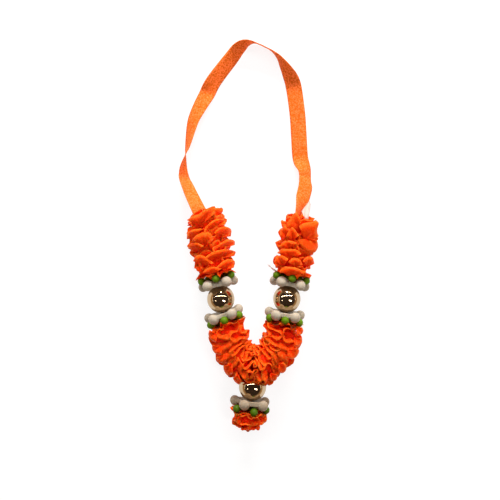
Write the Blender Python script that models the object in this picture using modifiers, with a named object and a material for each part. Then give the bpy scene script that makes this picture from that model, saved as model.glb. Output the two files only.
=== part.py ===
"""Small garland of gathered satin ribbon, gold balls and ball-tipped star caps, lying flat on a table.

The garland is drawn in the plane of the table, +X to the right and +Y towards the ribbon loop, with +Z up.
One thread runs from the top of the left ruffle, round the bottom of the V, to the top of the right ruffle.
A second thread hangs the pendant from the bottom of the V.
"""

import math
import random

import bmesh
import bpy
from mathutils import Matrix, Vector

COLLECTION_NAME = "deity_flower_garland"
CUTTERS_NAME = "garland_cutters"

# Heights and threads
AXIS_HEIGHT = 0.0092
THREAD_RADIUS = 0.0004
BORE_RADIUS = 0.0007
KNOT_RADIUS = 0.0009
GAP = 0.0003
THREAD_SPACING = 0.0034

# Gold balls
BEAD_RADIUS = 0.006
BEAD_STEPS = 16
BEAD_RINGS = 9

# Star caps, as distances from the centre of their ball along the thread
CAP_ARMS = 5
WHITE_DISTANCE = 0.0073
GREEN_DISTANCE = 0.0093
HUB_RADIUS = 0.0022
HUB_HALF_LENGTH = 0.0008
WHITE_ARM = [(0.0012, 0.0011), (0.0047, 0.0015), (0.0062, 0.00215), (0.0078, 0.0019), (0.009, 0.0)]
GREEN_ARM = [(0.0012, 0.0006), (0.005, 0.0007), (0.0062, 0.0017), (0.0076, 0.0015), (0.0086, 0.0)]
WHITE_ARM_STEPS = 6
GREEN_ARM_STEPS = 6
WHITE_TURN = math.radians(36.0)
LOWER_CAP_TILT = math.radians(5.0)

# Thread routes in the plane of the table, from the photograph
MAIN_ROUTE = [
    (-0.0206, 0.0165),
    (-0.0149, -0.0102),
    (-0.0127, -0.0213),
    (-0.0104, -0.0322),
    (-0.0064, -0.0440),
    (0.0018, -0.0505),
    (0.0114, -0.0434),
    (0.0145, -0.0322),
    (0.0160, -0.0212),
    (0.0182, -0.0102),
    (0.0223, 0.0140),
]
LEFT_BEAD_AT = (-0.0127, -0.0213)
RIGHT_BEAD_AT = (0.0160, -0.0212)
PENDANT_ROUTE = [(0.0020, -0.0512), (-0.0008, -0.0772)]
PENDANT_BEAD_FROM_TOP = 0.0083
PENDANT_BORE_START = 0.0002
BORE_PAST_END = 0.003
ROUTE_STEP = 0.0005

# Gathered ribbon
RIBBON_THICKNESS = 0.00065
PLEAT_PITCH = 0.0027
STRANDS = 3
PLEAT_ROOT_SHARE = 0.7
PLEAT_ROUNDING = 0.22
CORE_RADIUS = 0.0048
CORE_END_SHARE = 0.45
CORE_END_TAPER = 0.003
CORE_TO_BEAD = 0.0007
CORE_RESOLUTION = 2
CORE_RUNS = 10
RUFFLE_RADIUS = 0.0088
RUFFLE_START = 0.0112
BEAD_NEST_RADIUS = 0.0066
LEAST_BEND_SPACING = 0.36
FOOT_SWELL = 0.0007
SECTION_STOPS = [0.0, 0.15, 0.38, 0.62, 0.85]
LEAST_SWING = 47.0
MOST_SWING = 62.0
RADIAL_STOPS = [0.0, 0.5, 1.0]
RUFFLES = {
    "ruffle_upper_left": {
        "seed": 4,
        "centre": (-15.0, 25.0),
        "scale": [(0.0, 0.9), (0.15, 1.0), (1.0, 1.0)],
    },
    "ruffle_upper_right": {
        "seed": 8,
        "centre": (20.0, -20.0),
        "scale": [(0.0, 1.0), (0.8, 1.0), (1.0, 0.86)],
    },
    "ruffle_lower_v": {
        "seed": 5,
        "centre": (-30.0, 40.0),
        "scale": [(0.0, 0.97), (1.0, 0.97)],
    },
    "ruffle_tassel": {
        "seed": 2,
        "centre": (-20.0, 20.0),
        "scale": [(0.0, 0.86), (0.55, 0.8), (1.0, 0.48)],
    },
}
TASSEL_PITCH = 0.0016
TASSEL_LENGTH = 0.0066

# Hanging ribbon: x, y, least height of its middle, and roll in degrees with its right edge raised
LOOP_WIDTH = 0.007
LOOP_THICKNESS = 0.0006
LOOP_SPACING = 0.004
LOOP_ROUTE = [
    (-0.0226, 0.0183, 0.0109, 38.0),
    (-0.0265, 0.0263, 0.0072, 45.0),
    (-0.0296, 0.0341, 0.0, 60.0),
    (-0.0285, 0.0421, 0.0, 80.0),
    (-0.0277, 0.0457, 0.0, 75.0),
    (-0.0254, 0.0570, 0.0, 42.0),
    (-0.0199, 0.0687, 0.0, 18.0),
    (-0.0163, 0.0752, 0.0, 18.0),
    (-0.0080, 0.0859, 0.0, 12.0),
    (-0.0055, 0.0892, 0.0, 14.0),
    (-0.0028, 0.0915, 0.0, 30.0),
    (-0.0005, 0.0925, 0.0, 50.0),
    (0.0016, 0.0924, 0.0, 68.0),
    (0.0036, 0.0915, 0.0, 84.0),
    (0.0064, 0.0904, 0.0, 88.0),
    (0.0091, 0.0891, 0.0, 86.0),
    (0.0122, 0.0860, 0.0, 79.0),
    (0.0142, 0.0832, 0.0, 72.0),
    (0.0166, 0.0795, 0.0, 62.0),
    (0.0189, 0.0760, 0.0, 44.0),
    (0.0199, 0.0718, 0.0, 10.0),
    (0.0213, 0.0607, 0.0, 4.0),
    (0.0219, 0.0515, 0.0, 0.0),
    (0.0226, 0.0412, 0.0, 0.0),
    (0.0243, 0.0355, 0.0, 36.0),
    (0.0245, 0.0308, 0.0040, 38.0),
    (0.0244, 0.0277, 0.0055, 24.0),
    (0.0228, 0.0222, 0.0085, 30.0),
    (0.0217, 0.0170, 0.0109, 48.0),
]
TAIL_OUTLINE = [(0.0, 0.0), (0.0016, -0.0003), (0.0030, 0.0062), (0.0026, 0.0080), (-0.0011, 0.0033)]
TAIL_AT = (0.0226, 0.0150, 0.0074)
TAIL_THICKNESS = 0.0006

# Roughness and metallic value, with the colour, of each material
MATERIALS = {
    "orange_satin": ((0.90, 0.10, 0.01, 1.0), 0.45, 0.0),
    "orange_loop": ((0.95, 0.17, 0.03, 1.0), 0.45, 0.0),
    "pale_tail": ((0.75, 0.50, 0.42, 1.0), 0.5, 0.0),
    "gold_mirror": ((0.55, 0.40, 0.24, 1.0), 0.08, 1.0),
    "white_plastic": ((0.62, 0.54, 0.44, 1.0), 0.4, 0.0),
    "green_plastic": ((0.12, 0.30, 0.02, 1.0), 0.4, 0.0),
    "thread": ((0.70, 0.12, 0.03, 1.0), 0.7, 0.0),
}


def clear_scene():
    for old in list(bpy.data.objects):
        bpy.data.objects.remove(old, do_unlink=True)


def new_collection(name):
    collection = bpy.data.collections.new(name)
    bpy.context.scene.collection.children.link(collection)
    return collection


def new_material(name):
    colour, roughness, metallic = MATERIALS[name]
    material = bpy.data.materials.new(name)
    material.use_nodes = True
    shader = material.node_tree.nodes["Principled BSDF"]
    shader.inputs["Base Color"].default_value = colour
    shader.inputs["Roughness"].default_value = roughness
    shader.inputs["Metallic"].default_value = metallic
    material.diffuse_color = colour
    return material


def new_object(name, data, collection):
    item = bpy.data.objects.new(name, data)
    collection.objects.link(item)
    return item


def mesh_from_bmesh(name, shape):
    mesh = bpy.data.meshes.new(name)
    shape.to_mesh(mesh)
    shape.free()
    return mesh


def hide_as_cutter(item):
    item.hide_render = True
    item.display_type = "WIRE"


def evaluated_mesh(item):
    """The object's mesh with its modifiers applied and a curve's loose caps welded."""
    graph = bpy.context.evaluated_depsgraph_get()
    mesh = bpy.data.meshes.new_from_object(item.evaluated_get(graph))
    shape = bmesh.new()
    shape.from_mesh(mesh)
    bmesh.ops.remove_doubles(shape, verts=shape.verts, dist=0.000001)
    bmesh.ops.recalc_face_normals(shape, faces=shape.faces)
    shape.to_mesh(mesh)
    shape.free()
    return mesh


def drop_scraps(mesh):
    """Keeps only the largest body of a mesh: the cuts can leave a crumb beside it."""
    shape = bmesh.new()
    shape.from_mesh(mesh)
    left = set(shape.verts)
    bodies = []
    while left:
        body, edge = set(), [left.pop()]
        while edge:
            vertex = edge.pop()
            body.add(vertex)
            for link in vertex.link_edges:
                other = link.other_vert(vertex)
                if other in left:
                    left.remove(other)
                    edge.append(other)
        bodies.append(body)
    largest = max(bodies, key=len)
    scraps = [vertex for body in bodies if body is not largest for vertex in body]
    bmesh.ops.delete(shape, geom=scraps, context="VERTS")
    shape.to_mesh(mesh)
    shape.free()


def made_mesh(item, collection):
    """Replaces a curve, or an object with modifiers, by the mesh that it makes."""
    name = item.name
    mesh = evaluated_mesh(item)
    made = bpy.data.objects.new(name + "_mesh", mesh)
    collection.objects.link(made)
    made.matrix_world = item.matrix_world.copy()
    bpy.data.objects.remove(item, do_unlink=True)
    made.name = name
    return made


def add_boolean(item, operation, other):
    boolean = item.modifiers.new(operation.lower(), "BOOLEAN")
    boolean.operation = operation
    if isinstance(other, bpy.types.Collection):
        boolean.operand_type = "COLLECTION"
        boolean.collection = other
    else:
        boolean.object = other


class Route:
    """A thread's smooth route, read by the distance along it."""

    def __init__(self, corners):
        self.points = self.smoothed(corners)
        self.distances = [0.0]
        for before, after in zip(self.points, self.points[1:]):
            self.distances.append(self.distances[-1] + (after - before).length)
        self.length = self.distances[-1]

    @staticmethod
    def smoothed(corners):
        """Points about ROUTE_STEP apart on a Catmull-Rom curve through the corners."""
        flat = [Vector((x, y, AXIS_HEIGHT)) for x, y in corners]
        ends = [flat[0] * 2 - flat[1], *flat, flat[-1] * 2 - flat[-2]]
        points = []
        for a, b, c, d in zip(ends, ends[1:], ends[2:], ends[3:]):
            steps = max(2, round((c - b).length / ROUTE_STEP))
            for step in range(steps):
                t = step / steps
                points.append(
                    0.5
                    * (
                        2 * b
                        + (c - a) * t
                        + (2 * a - 5 * b + 4 * c - d) * t**2
                        + (3 * b - a - 3 * c + d) * t**3
                    )
                )
        points.append(flat[-1])
        return points

    def at(self, distance):
        """The point at a distance from the start, also past either end."""
        index = 0
        while index < len(self.points) - 2 and self.distances[index + 1] < distance:
            index += 1
        before, after = self.points[index], self.points[index + 1]
        share = (distance - self.distances[index]) / (self.distances[index + 1] - self.distances[index])
        return before.lerp(after, share)

    def tangent(self, distance):
        return (self.at(distance + ROUTE_STEP) - self.at(distance - ROUTE_STEP)).normalized()

    def side(self, distance):
        """The level direction square to the route, to its left."""
        return Vector((0, 0, 1)).cross(self.tangent(distance))

    def bend(self, distance):
        """How sharply the route turns towards its side, as one over the radius."""
        reach = 4 * ROUTE_STEP
        turned = self.tangent(distance + reach) - self.tangent(distance - reach)
        return turned.dot(self.side(distance)) / (2 * reach)

    def nearest(self, place):
        target = Vector((*place, AXIS_HEIGHT))
        index = min(range(len(self.points)), key=lambda i: (self.points[i] - target).length)
        return self.distances[index]

    def stretch(self, start, end, spacing):
        count = max(1, math.ceil((end - start) / spacing))
        return [self.at(start + (end - start) * step / count) for step in range(count + 1)]


def tube(name, points, radius, resolution, collection, swells=None):
    """A round tube along straight runs, with swells as a factor on the radius at each point."""
    curve = bpy.data.curves.new(name, "CURVE")
    curve.dimensions = "3D"
    curve.bevel_depth = radius
    curve.bevel_resolution = resolution
    curve.use_fill_caps = True
    spline = curve.splines.new("POLY")
    spline.points.add(len(points) - 1)
    for number, (spline_point, point) in enumerate(zip(spline.points, points)):
        spline_point.co = (*point, 1.0)
        spline_point.radius = swells[number] if swells else 1.0
    return new_object(name, curve, collection)


def knotted_thread(name, route, knot_at_start, collection):
    """A thread with a knot at its far end, and at its start if asked, just clear of the core beside it."""
    swell = KNOT_RADIUS / THREAD_RADIUS
    knot = [(0.0, 1.0), (0.35, 0.9 * swell), (0.9, swell), (1.5, 0.8 * swell), (1.8, 0.5)]
    inner = route.stretch(0.0, route.length, THREAD_SPACING)
    points, swells = [], []
    if knot_at_start:
        points += [route.at(-share * KNOT_RADIUS - GAP) for share, _ in reversed(knot)]
        swells += [factor for _, factor in reversed(knot)]
    points += inner + [route.at(route.length + share * KNOT_RADIUS + GAP) for share, _ in knot]
    swells += [1.0] * len(inner) + [factor for _, factor in knot]
    thread = tube(name, points, THREAD_RADIUS, 1, collection, swells)
    thread.data.materials.append(bpy.data.materials["thread"])
    return thread


def swing_angles(rng, count, centre):
    """The angle of each fold, in radians: folds lie on alternate sides of a centre that drifts."""
    angles = []
    for number in range(count + 1):
        drifting = centre[0] + (centre[1] - centre[0]) * number / count
        swing = rng.uniform(LEAST_SWING, MOST_SWING)
        angles.append(math.radians(drifting + (swing if number % 2 else -swing)))
    return angles


def stepped(table, share):
    """A value read between the pairs of a short table."""
    for (left, low), (right, high) in zip(table, table[1:]):
        if share <= right:
            return low + (high - low) * max(0.0, (share - left) / (right - left))
    return table[-1][1]


def clear_of_bend(route, distance, facing, radius):
    """Keeps pleats on the inside of a bend from running into each other."""
    closeness = route.bend(distance) * facing.dot(route.side(distance))
    if closeness <= 0:
        return radius
    return min(radius, (1 - LEAST_BEND_SPACING) / closeness)


def clear_of_bead(base, facing, radius, bead_centre):
    """Shortens a pleat that points at the pendant's ball, so that the ball nests among the pleats."""
    if bead_centre is None:
        return radius
    to_bead = bead_centre - base
    along = to_bead.dot(facing)
    missed_by = (to_bead - facing * along).length
    if along <= 0 or missed_by >= BEAD_NEST_RADIUS:
        return radius
    return min(radius, along - math.sqrt(BEAD_NEST_RADIUS**2 - missed_by**2))


def core_radius(place, route, start, end, style, bead_centre):
    """The stitched middle's radius: tapered at both ends, and thin where it passes the pendant's ball."""
    inset = min(place - start, end - place) / CORE_END_TAPER
    share = CORE_END_SHARE + (1 - CORE_END_SHARE) * min(1.0, max(0.0, inset))
    radius = CORE_RADIUS * share * stepped(style["scale"], (place - start) / (end - start))
    if bead_centre is None:
        return radius
    return min(radius, (route.at(place) - bead_centre).length - BEAD_RADIUS - CORE_TO_BEAD)


def pleat_surface(name, route, start, end, pitch, style, strand, bead_centre, collection):
    """One strand of the gathered ribbon, from the stitches out to its edge, as an open sheet.

    The strand swings to and fro round the thread. Each swing is a pleat, and each turn back a rounded fold.
    """
    rng = random.Random(10 * style["seed"] + strand)
    count = max(2, round((end - start) / pitch) - 1)
    step = (end - start) / (count + 1)
    angles = swing_angles(rng, count, style["centre"])
    offset = 2 * math.pi * strand / STRANDS
    fold_sizes = [rng.uniform(0.92, 1.07) for _ in range(count + 1)]
    middle_sizes = [rng.uniform(0.95, 1.05) for _ in range(count + 1)]
    bulges = [rng.uniform(0.28, 0.42) for _ in range(count + 1)]
    cups = [rng.uniform(-0.2, 0.2) for _ in range(count + 1)]
    shape = bmesh.new()
    rows = []
    for pleat in range(count):
        for t in SECTION_STOPS + ([1.0] if pleat == count - 1 else []):
            nearer = pleat if t < 0.5 else pleat + 1
            wave = (1 - math.cos(math.pi * t)) / 2
            angle = angles[pleat] + (angles[pleat + 1] - angles[pleat]) * wave + offset
            along = start + step * (pleat + 0.5 + t + bulges[nearer] * math.sin(2 * math.pi * t))
            fold = fold_sizes[pleat] + (fold_sizes[pleat + 1] - fold_sizes[pleat]) * wave
            size = fold + (middle_sizes[pleat] - fold) * math.sin(math.pi * t) ** 2
            size *= stepped(style["scale"], (along - start) / (end - start))
            size *= 1 - PLEAT_ROUNDING * ((along - start) / step - 0.5 - nearer) ** 2
            cup = cups[pleat] + (cups[pleat + 1] - cups[pleat]) * wave
            rows.append([])
            for stop in RADIAL_STOPS:
                place = along + pitch * cup * math.sin(math.pi * stop)
                base = route.at(place)
                facing = Vector((0, 0, 1)) * math.cos(angle) + route.side(place) * math.sin(angle)
                outer = RUFFLE_RADIUS * size + FOOT_SWELL * max(0.0, -facing.z) ** 2
                outer = clear_of_bend(route, place, facing, outer)
                outer = clear_of_bead(base, facing, outer, bead_centre)
                root = PLEAT_ROOT_SHARE * core_radius(place, route, start, end, style, bead_centre)
                radius = root + (outer - root) * stop
                rows[-1].append(shape.verts.new(base + facing * radius))
    for before, after in zip(rows, rows[1:]):
        for k in range(len(RADIAL_STOPS) - 1):
            shape.faces.new((before[k], after[k], after[k + 1], before[k + 1]))
    bmesh.ops.triangulate(shape, faces=shape.faces)
    sheet = new_object(name, mesh_from_bmesh(name, shape), collection)
    thicken = sheet.modifiers.new("thickness", "SOLIDIFY")
    thicken.thickness = RIBBON_THICKNESS
    thicken.offset = 0.0
    return sheet


def table_cutter(collection):
    shape = bmesh.new()
    bmesh.ops.create_cube(shape, size=1.0, matrix=Matrix.Diagonal((0.3, 0.3, 0.02, 1.0)))
    cutter = new_object("table_cutter", mesh_from_bmesh("table_cutter", shape), collection)
    cutter.location.z = -0.01
    hide_as_cutter(cutter)
    return cutter


def bore_cutter(name, points, collection):
    cutter = made_mesh(tube(name, points, BORE_RADIUS, 2, collection), collection)
    hide_as_cutter(cutter)
    return cutter


def ruffle(name, route, start, end, pitch, bores, table, bead_centre, parts, cutters):
    """A gathered column: its stitched core, the strands of ribbon round it, and the thread's way through."""
    style = RUFFLES[name]
    helpers = new_collection(name + "_pleats")
    for strand in range(STRANDS):
        pleat_surface(f"{name}_{strand}", route, start, end, pitch, style, strand, bead_centre, helpers)
    stops = [start - GAP + (end - start + 2 * GAP) * number / CORE_RUNS for number in range(CORE_RUNS + 1)]
    radii = [core_radius(stop, route, start, end, style, bead_centre) for stop in stops]
    swells = [radius / CORE_RADIUS for radius in radii]
    points = [route.at(stop) for stop in stops]
    core = made_mesh(tube(name, points, CORE_RADIUS, CORE_RESOLUTION, cutters, swells), cutters)
    add_boolean(core, "UNION", helpers)
    for bore in bores:
        add_boolean(core, "DIFFERENCE", bore)
    add_boolean(core, "DIFFERENCE", table)
    column = made_mesh(core, parts)
    drop_scraps(column.data)
    for helper in list(helpers.objects):
        bpy.data.objects.remove(helper, do_unlink=True)
    bpy.data.collections.remove(helpers)
    column.data.materials.clear()
    column.data.materials.append(bpy.data.materials["orange_satin"])
    return column


def bead_mesh():
    """A ball with a bore, turned from its wall's outline."""
    mouth = math.asin(BORE_RADIUS / BEAD_RADIUS)
    shape = bmesh.new()
    ring = []
    for number in range(BEAD_RINGS):
        angle = mouth + (math.pi - 2 * mouth) * number / (BEAD_RINGS - 1)
        ring.append(shape.verts.new((BEAD_RADIUS * math.sin(angle), 0.0, BEAD_RADIUS * math.cos(angle))))
    for before, after in zip(ring, ring[1:] + ring[:1]):
        shape.edges.new((before, after))
    return mesh_from_bmesh("gold_bead", shape)


def add_screw(item, steps):
    screw = item.modifiers.new("turn", "SCREW")
    screw.steps = steps
    screw.render_steps = steps
    screw.use_merge_vertices = True
    screw.merge_threshold = 0.00001


def finish_round(item, material):
    item.data.materials.clear()
    item.data.materials.append(bpy.data.materials[material])
    item.data.shade_smooth()


def gold_bead(name, mesh, centre, direction, parts):
    bead = new_object(name, mesh, parts)
    add_screw(bead, BEAD_STEPS)
    bead.rotation_euler = direction.to_track_quat("Z", "Y").to_euler()
    bead.location = centre
    finish_round(bead, "gold_mirror")
    return bead


def cap_mesh(name, outline, steps, first_turn, cutters):
    """A star cap: a hub with a bore, and arms that end in balls, with +Z along the thread and +X up."""
    helpers = new_collection(name + "_arms")
    shape = bmesh.new()
    corners = [
        shape.verts.new((radius, 0.0, height))
        for radius, height in [
            (HUB_RADIUS, HUB_HALF_LENGTH),
            (HUB_RADIUS, -HUB_HALF_LENGTH),
            (BORE_RADIUS, -HUB_HALF_LENGTH),
            (BORE_RADIUS, HUB_HALF_LENGTH),
        ]
    ]
    for before, after in zip(corners, corners[1:] + corners[:1]):
        shape.edges.new((before, after))
    hub = new_object(name, mesh_from_bmesh(name, shape), cutters)
    add_screw(hub, 2 * CAP_ARMS)
    for number in range(CAP_ARMS):
        shape = bmesh.new()
        points = [shape.verts.new((outline[0][0], 0.0, 0.0))]
        points += [shape.verts.new((reach, 0.0, radius)) for reach, radius in outline]
        for before, after in zip(points, points[1:]):
            shape.edges.new((before, after))
        arm = new_object(f"{name}_arm_{number}", mesh_from_bmesh(name, shape), helpers)
        add_screw(arm, steps)
        arm.modifiers["turn"].axis = "X"
        arm.rotation_euler.z = first_turn + 2 * math.pi * number / CAP_ARMS
        made_mesh(arm, helpers)
    hub = made_mesh(hub, cutters)
    add_boolean(hub, "UNION", helpers)
    mesh = evaluated_mesh(hub)
    for helper in [hub, *helpers.objects]:
        bpy.data.objects.remove(helper, do_unlink=True)
    bpy.data.collections.remove(helpers)
    return mesh


def star_caps(number, route, bead_place, outward, tilt, meshes, parts):
    """A white cap against a ball, and a green one behind it, turned half an arm from the white.

    outward is 1 for the side of the ball further along the thread, and -1 for the other side.
    """
    up = Vector((0, 0, 1))
    middle = bead_place + outward * (WHITE_DISTANCE + GREEN_DISTANCE) / 2
    pivot = route.at(middle)
    side = route.tangent(middle).cross(up) * outward
    leaning = Matrix.Translation(pivot) @ Matrix.Rotation(tilt, 4, side) @ Matrix.Translation(-pivot)
    for colour, distance in (("white", WHITE_DISTANCE), ("green", GREEN_DISTANCE)):
        place = bead_place + outward * distance
        direction = route.tangent(place) * outward
        upright = Matrix((up, direction.cross(up), direction)).transposed().to_4x4()
        cap = new_object(f"{colour}_cap_{number}", meshes[colour], parts)
        cap.matrix_world = leaning @ Matrix.Translation(route.at(place)) @ upright


def hanging_ribbon(parts, cutters):
    """The loop that hangs the garland, as a flat band that rolls onto its edge where it turns."""
    flat = bpy.data.curves.new("ribbon_section", "CURVE")
    flat.dimensions = "2D"
    outline = flat.splines.new("POLY")
    outline.points.add(3)
    corners = [(-1, -1), (1, -1), (1, 1), (-1, 1)]
    for point, (across, through) in zip(outline.points, corners):
        point.co = (across * LOOP_WIDTH / 2, through * LOOP_THICKNESS / 2, 0.0, 1.0)
    outline.use_cyclic_u = True
    section = new_object("ribbon_section", flat, cutters)
    hide_as_cutter(section)
    curve = bpy.data.curves.new("ribbon_loop", "CURVE")
    curve.dimensions = "3D"
    curve.twist_mode = "Z_UP"
    curve.bevel_mode = "OBJECT"
    curve.bevel_object = section
    curve.use_fill_caps = True
    spline = curve.splines.new("POLY")
    places = loop_places()
    spline.points.add(len(places) - 1)
    for point, (place, roll) in zip(spline.points, places):
        point.co = (*place, 1.0)
        point.tilt = roll
    curve.materials.append(bpy.data.materials["orange_loop"])
    return made_mesh(new_object("ribbon_loop", curve, parts), parts)


def loop_places():
    """Points along the loop about LOOP_SPACING apart, each with its roll in radians, resting on the table."""
    knots = [Vector((x, y, z, math.radians(roll))) for x, y, z, roll in LOOP_ROUTE]
    ends = [knots[0] * 2 - knots[1], *knots, knots[-1] * 2 - knots[-2]]
    places = []
    for a, b, c, d in zip(ends, ends[1:], ends[2:], ends[3:]):
        steps = max(1, round((c - b).xyz.length / LOOP_SPACING))
        for step in range(steps):
            t = step / steps
            places.append(
                0.5
                * (
                    2 * b
                    + (c - a) * t
                    + (2 * a - 5 * b + 4 * c - d) * t**2
                    + (3 * b - a - 3 * c + d) * t**3
                )
            )
    places.append(knots[-1])
    resting = []
    for place in places:
        roll = place.w
        lift = LOOP_WIDTH / 2 * abs(math.sin(roll)) + LOOP_THICKNESS / 2 * abs(math.cos(roll)) + GAP
        resting.append((Vector((place.x, place.y, max(place.z, lift))), roll))
    return resting


def ribbon_tail(parts):
    """The short pale end that lies beside the ribbon at the top of the right ruffle."""
    curve = bpy.data.curves.new("ribbon_tail", "CURVE")
    curve.dimensions = "2D"
    curve.fill_mode = "BOTH"
    curve.extrude = TAIL_THICKNESS / 2
    spline = curve.splines.new("POLY")
    spline.points.add(len(TAIL_OUTLINE) - 1)
    for point, (x, y) in zip(spline.points, TAIL_OUTLINE):
        point.co = (x, y, 0.0, 1.0)
    spline.use_cyclic_u = True
    curve.materials.append(bpy.data.materials["pale_tail"])
    tail = new_object("ribbon_tail", curve, parts)
    tail.location = TAIL_AT
    return tail


def centre_on_origin(parts):
    """Stands the garland on the origin: the middle of its box, without the loop, goes to X = Y = 0."""
    graph = bpy.context.evaluated_depsgraph_get()
    corners = []
    for item in parts.objects:
        if item.name == "ribbon_loop":
            continue
        seen = item.evaluated_get(graph)
        corners += [item.matrix_world @ vertex.co for vertex in seen.to_mesh().vertices]
        seen.to_mesh_clear()
    middle = [(min(c[i] for c in corners) + max(c[i] for c in corners)) / 2 for i in (0, 1)]
    stand = bpy.data.objects.new("garland_middle", None)
    parts.objects.link(stand)
    for item in parts.objects:
        if item is not stand:
            item.parent = stand
    stand.location = (-middle[0], -middle[1], 0.0)


def main():
    clear_scene()
    parts = new_collection(COLLECTION_NAME)
    cutters = new_collection(CUTTERS_NAME)
    for name in MATERIALS:
        new_material(name)

    main_route = Route(MAIN_ROUTE)
    pendant_route = Route(PENDANT_ROUTE)
    left = main_route.nearest(LEFT_BEAD_AT)
    right = main_route.nearest(RIGHT_BEAD_AT)
    pendant_centre = pendant_route.at(PENDANT_BEAD_FROM_TOP)
    main_ends = (-BORE_PAST_END, main_route.length + BORE_PAST_END)
    main_bore = bore_cutter("main_bore", main_route.stretch(*main_ends, THREAD_SPACING), cutters)
    pendant_ends = (-PENDANT_BORE_START, pendant_route.length + BORE_PAST_END)
    pendant_bore = bore_cutter("pendant_bore", pendant_route.stretch(*pendant_ends, THREAD_SPACING), cutters)
    table = table_cutter(cutters)

    knotted_thread("thread_main", main_route, True, parts)
    knotted_thread("thread_pendant", pendant_route, False, parts)
    upper_left = (main_route, 0.0, left - RUFFLE_START, PLEAT_PITCH)
    upper_right = (main_route, right + RUFFLE_START, main_route.length, PLEAT_PITCH)
    lower_v = (main_route, left + RUFFLE_START, right - RUFFLE_START, PLEAT_PITCH)
    tassel_start = PENDANT_BEAD_FROM_TOP + RUFFLE_START
    tassel = (pendant_route, tassel_start, tassel_start + TASSEL_LENGTH, TASSEL_PITCH)
    ruffle("ruffle_upper_left", *upper_left, [main_bore], table, None, parts, cutters)
    ruffle("ruffle_upper_right", *upper_right, [main_bore], table, None, parts, cutters)
    ruffle("ruffle_lower_v", *lower_v, [main_bore, pendant_bore], table, pendant_centre, parts, cutters)
    ruffle("ruffle_tassel", *tassel, [pendant_bore], table, None, parts, cutters)

    ball = bead_mesh()
    gold_bead("gold_bead_left", ball, main_route.at(left), main_route.tangent(left), parts)
    gold_bead("gold_bead_right", ball, main_route.at(right), main_route.tangent(right), parts)
    gold_bead("gold_bead_pendant", ball, pendant_centre, pendant_route.tangent(PENDANT_BEAD_FROM_TOP), parts)

    meshes = {
        "white": cap_mesh("white_cap", WHITE_ARM, WHITE_ARM_STEPS, WHITE_TURN, cutters),
        "green": cap_mesh("green_cap", GREEN_ARM, GREEN_ARM_STEPS, 0.0, cutters),
    }
    meshes["white"].materials.append(bpy.data.materials["white_plastic"])
    meshes["green"].materials.append(bpy.data.materials["green_plastic"])
    star_caps(1, main_route, left, -1, 0.0, meshes, parts)
    star_caps(2, main_route, right, 1, 0.0, meshes, parts)
    star_caps(3, main_route, left, 1, LOWER_CAP_TILT, meshes, parts)
    star_caps(4, main_route, right, -1, LOWER_CAP_TILT, meshes, parts)
    star_caps(5, pendant_route, PENDANT_BEAD_FROM_TOP, 1, 0.0, meshes, parts)

    hanging_ribbon(parts, cutters)
    ribbon_tail(parts)
    centre_on_origin(parts)


main()
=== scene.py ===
"""Looks for a small satin-ribbon garland with gold balls and star caps, seen from straight above.

Every length is in metres. Places are drawn as in the photograph, with its middle at 0, and then moved by
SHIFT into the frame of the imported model.
"""

import math
import random

import bmesh
import bpy
from mathutils import Matrix, Vector, noise


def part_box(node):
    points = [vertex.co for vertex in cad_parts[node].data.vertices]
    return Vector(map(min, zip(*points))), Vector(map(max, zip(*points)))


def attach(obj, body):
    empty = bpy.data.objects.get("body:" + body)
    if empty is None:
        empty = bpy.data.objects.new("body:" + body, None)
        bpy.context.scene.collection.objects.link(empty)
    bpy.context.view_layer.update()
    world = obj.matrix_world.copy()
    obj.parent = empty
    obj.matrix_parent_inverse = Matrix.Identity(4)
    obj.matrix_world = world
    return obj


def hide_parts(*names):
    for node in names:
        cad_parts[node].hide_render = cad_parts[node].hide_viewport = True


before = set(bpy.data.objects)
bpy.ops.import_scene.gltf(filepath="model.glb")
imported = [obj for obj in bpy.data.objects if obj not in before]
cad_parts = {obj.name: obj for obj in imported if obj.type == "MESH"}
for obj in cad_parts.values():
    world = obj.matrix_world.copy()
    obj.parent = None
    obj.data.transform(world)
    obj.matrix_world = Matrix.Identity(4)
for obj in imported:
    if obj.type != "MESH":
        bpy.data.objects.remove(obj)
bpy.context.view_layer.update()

UP = Vector((0, 0, 1))
AXIS_HEIGHT = 0.0092
ROUTE_STEP = 0.0005
MERGE_DISTANCE = 0.000001
PENDANT_PLACE = (0.001111, -0.059452)

# Camera
CAMERA_HEIGHT = 0.2716
CAMERA_ANGLE = math.radians(45.0)
CAMERA_CLIP_START = 0.01

# Light: a row of windows beyond the ribbon, a small lamp near the camera, and walls paler than the ceiling
WORLD_STOPS = [(0.12, (0.62, 0.41, 0.22)), (0.45, (0.035, 0.02, 0.012))]
WORLD_STRENGTH = 1.0
FLOOR_HALF = 1.5
LIGHTS = [
    # name, place, width and height, power in watts
    ("window_far", (0.03, 0.56, 0.29), (0.50, 0.06), 6.0),
    ("window_middle", (0.04, 0.48, 0.40), (0.40, 0.006), 0.022),
    ("window_near", (-0.02, 0.33, 0.60), (1.45, 0.016), 2.6),
    ("window_side_left", (-0.65, 0.0, 0.26), (0.40, 0.016), 0.08),
    ("window_side_right", (0.68, 0.0, 0.24), (0.22, 0.016), 0.05),
    ("lamp", (0.31, -0.15, 0.60), (0.09, 0.26), 1.0),
    ("lamp_small", (-0.43, -0.14, 0.50), (0.05, 0.06), 0.10),
]

# Satin colours: at the stitches or one edge, half way, and at the outer edge. On the ruffles the dark red at
# the stitches is painted shade in the pockets between the folds, and the pale outer edge is a painted
# highlight on the rolled rims
RUFFLE_SHADE_TO_HIGHLIGHT_COLOURS = ((0.88, 0.022, 0.001), (0.97, 0.060, 0.002), (0.99, 0.120, 0.008))
LOOP_COLOURS = ((0.95, 0.165, 0.016), (0.93, 0.15, 0.012), (0.95, 0.165, 0.016))

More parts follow.
